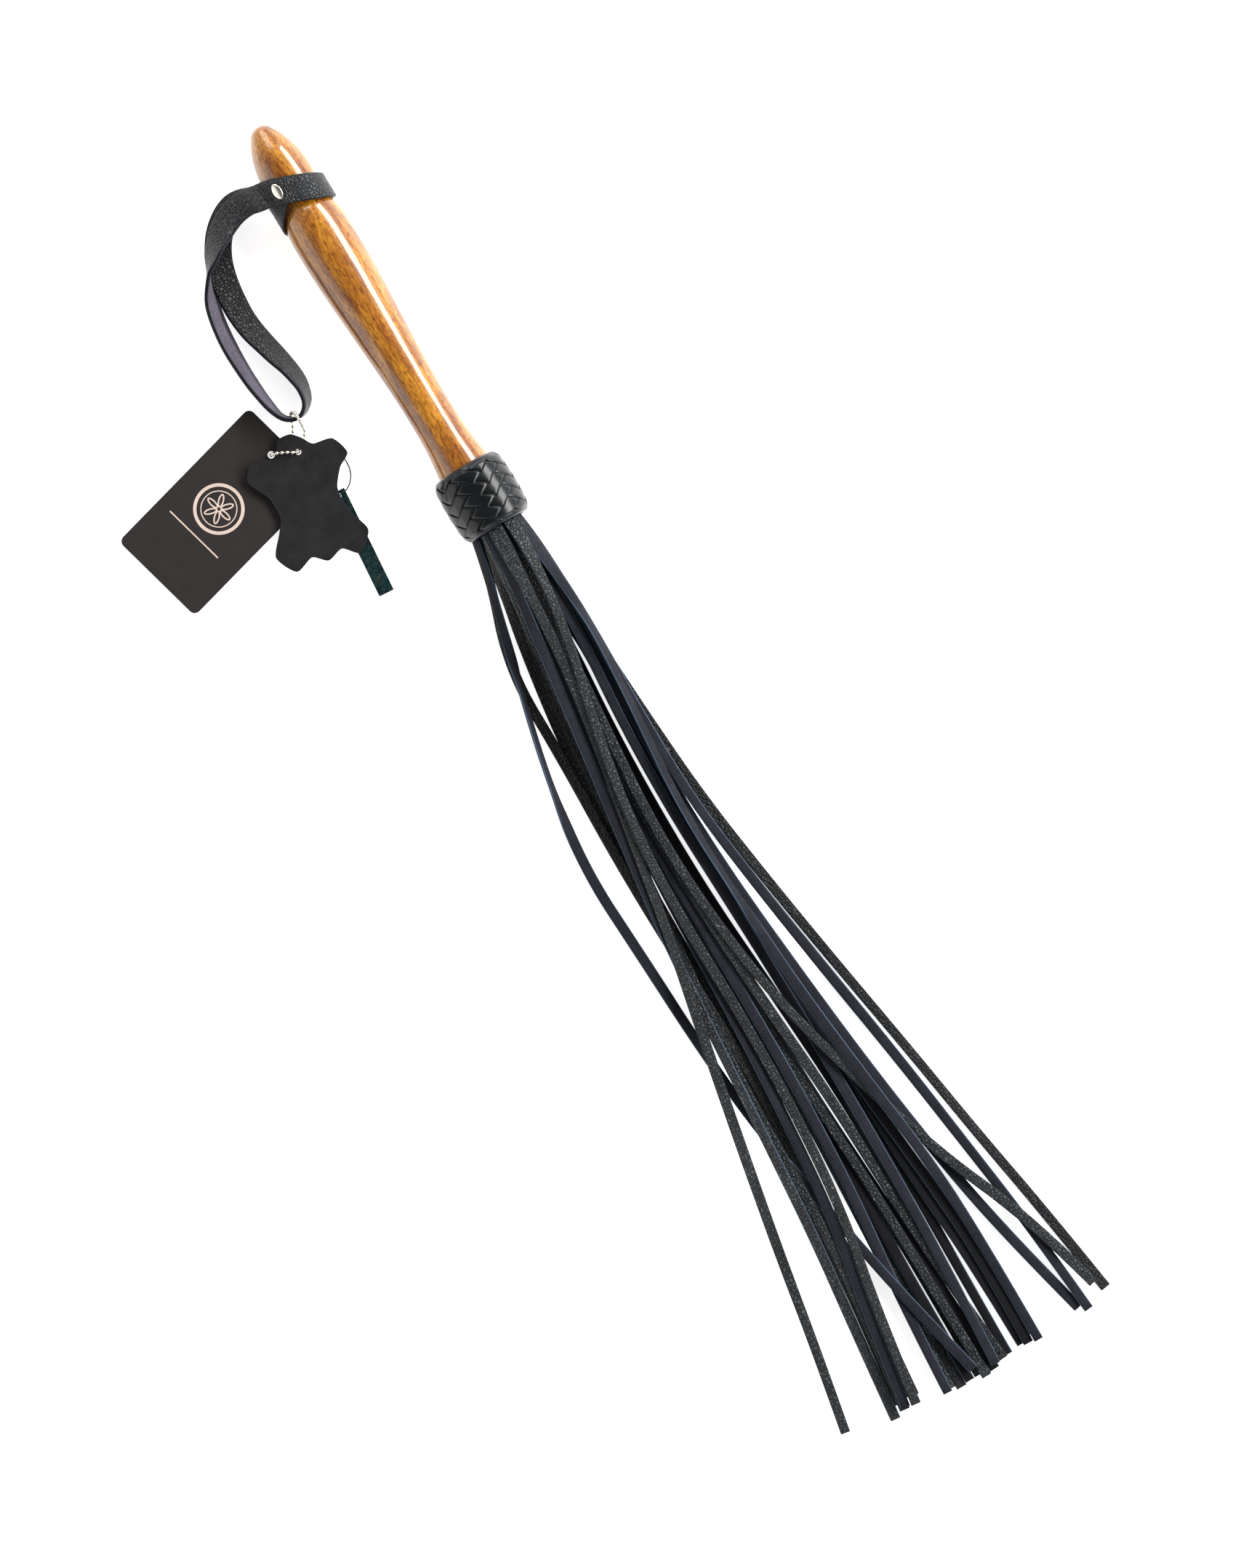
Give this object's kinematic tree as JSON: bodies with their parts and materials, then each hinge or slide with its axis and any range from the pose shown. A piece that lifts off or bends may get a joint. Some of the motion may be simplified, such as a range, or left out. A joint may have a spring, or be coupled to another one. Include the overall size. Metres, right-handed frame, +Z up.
{
  "type": "multi-tail leather whip",
  "caption": "Multi-tail leather whip with a turned wooden handle, braided collar, wrist strap and swing tags on a ball chain, lying with its tails spread.",
  "frame": {"origin": "centre of the bounding box's footprint, on the surface that the whip lies on", "axes": "+X along the handle from its butt towards the tails' cut ends, +Z up, +Y across"},
  "size_m": [0.688, 0.2194, 0.0369],
  "materials": {
    "turned_wood": "polished",
    "grain_leather": "pebbled",
    "steel_tack": "plain",
    "black_thread": "waxed",
    "padding": "matt",
    "black_lace": "glossy, smooth",
    "nickel_rivet": "polished nickel",
    "nickel_chain": "polished nickel",
    "dark_card": "smooth, with foil print",
    "grey_nubuck": "nubuck",
    "teal_foil_card": "foil",
    "dark_wire": "dull"
  },
  "bodies": {
    "grip": {"handle": "turned_wood", "header_inner": "grain_leather", "header_outer": "grain_leather", "header_tacks": "steel_tack", "binding_thread": "black_thread", "collar_padding": "padding", "braided_collar": "black_lace"},
    "strap_band": {"strap_neck_band": "grain_leather", "rivet_cap": "nickel_rivet", "rivet_post": "nickel_rivet"},
    "strap_loop": {"wrist_loop": "grain_leather"},
    "chain": {"ball_chain": "nickel_chain", "chain_connector": "nickel_chain"},
    "card": {"swing_card": "dark_card"},
    "hide": {"hide_tag": "grey_nubuck"},
    "strip": {"foil_strip": "teal_foil_card", "strip_loop": "dark_wire"},
    "fall_root": {"fall_skirt": "grain_leather"},
    "tails_lower": {"tail_08": "grain_leather", "tail_09": "grain_leather", "tail_11": "grain_leather", "tail_13": "grain_leather", "tail_16": "grain_leather", "tail_17": "grain_leather", "tail_18": "grain_leather", "tail_23": "grain_leather", "tail_24": "grain_leather", "tail_25": "grain_leather", "tail_26": "grain_leather", "tail_27": "grain_leather", "tail_28": "grain_leather"},
    "tails_middle": {"tail_03": "grain_leather", "tail_05": "grain_leather", "tail_06": "grain_leather", "tail_10": "grain_leather", "tail_12": "grain_leather", "tail_14": "grain_leather", "tail_15": "grain_leather", "tail_20": "grain_leather", "tail_21": "grain_leather"},
    "tails_upper": {"tail_01": "grain_leather", "tail_02": "grain_leather", "tail_04": "grain_leather", "tail_07": "grain_leather", "tail_19": "grain_leather", "tail_22": "grain_leather"}
  },
  "joints": [
    {"name": "strap_turn", "type": "hinge", "parent": "grip", "child": "strap_band", "pos_m": [-0.12202, 0.04846, 0.01872], "axis": [-0.9999, 0, -0.0157], "continuous": true},
    {"name": "loop_lift", "type": "hinge", "parent": "strap_band", "child": "strap_loop", "pos_m": [-0.31302, 0.03396, 0.0245], "axis": [-0.9999, 0, -0.0157], "range_deg": [0, 80]},
    {"name": "chain_swing", "type": "hinge", "parent": "strap_loop", "child": "chain", "pos_m": [-0.21662, -0.00794, 0.009], "axis": [0, 0, 1], "range_deg": [-5, 3]},
    {"name": "card_swing", "type": "hinge", "parent": "chain", "child": "card", "pos_m": [-0.20802, -0.02684, 0.0023], "axis": [0.0063, -0.0246, 0.9997], "range_deg": [-15, 7]},
    {"name": "hide_swing", "type": "hinge", "parent": "chain", "child": "hide", "pos_m": [-0.20242, -0.01504, 0.0045], "axis": [0.0366, 0, 0.9993], "range_deg": [-3, 12]},
    {"name": "strip_swing", "type": "hinge", "parent": "chain", "child": "strip", "pos_m": [-0.20202, -0.01004, 0.0015], "axis": [0, 0, 1], "range_deg": [-6, 10]},
    {"name": "fall_sway", "type": "hinge", "parent": "grip", "child": "fall_root", "pos_m": [-0.12002, 0.04846, 0.01872], "axis": [0, 0, 1], "range_deg": [-25, 25]},
    {"name": "tails_lift", "type": "hinge", "parent": "fall_root", "child": "tails_lower", "pos_m": [-0.12002, 0.04846, 0.01872], "axis": [0, -1, 0], "range_deg": [0, 35]},
    {"name": "middle_lift", "type": "hinge", "parent": "fall_root", "child": "tails_middle", "pos_m": [-0.12002, 0.04846, 0.01872], "axis": [0, -1, 0], "range_deg": [0, 39]},
    {"name": "upper_lift", "type": "hinge", "parent": "fall_root", "child": "tails_upper", "pos_m": [-0.12002, 0.04846, 0.01872], "axis": [0, -1, 0], "range_deg": [0, 42.5]}
  ],
  "couplings": [
    {"joint": "middle_lift", "follows": "tails_lift", "ratio": 1.1},
    {"joint": "upper_lift", "follows": "tails_lift", "ratio": 1.2}
  ]
}
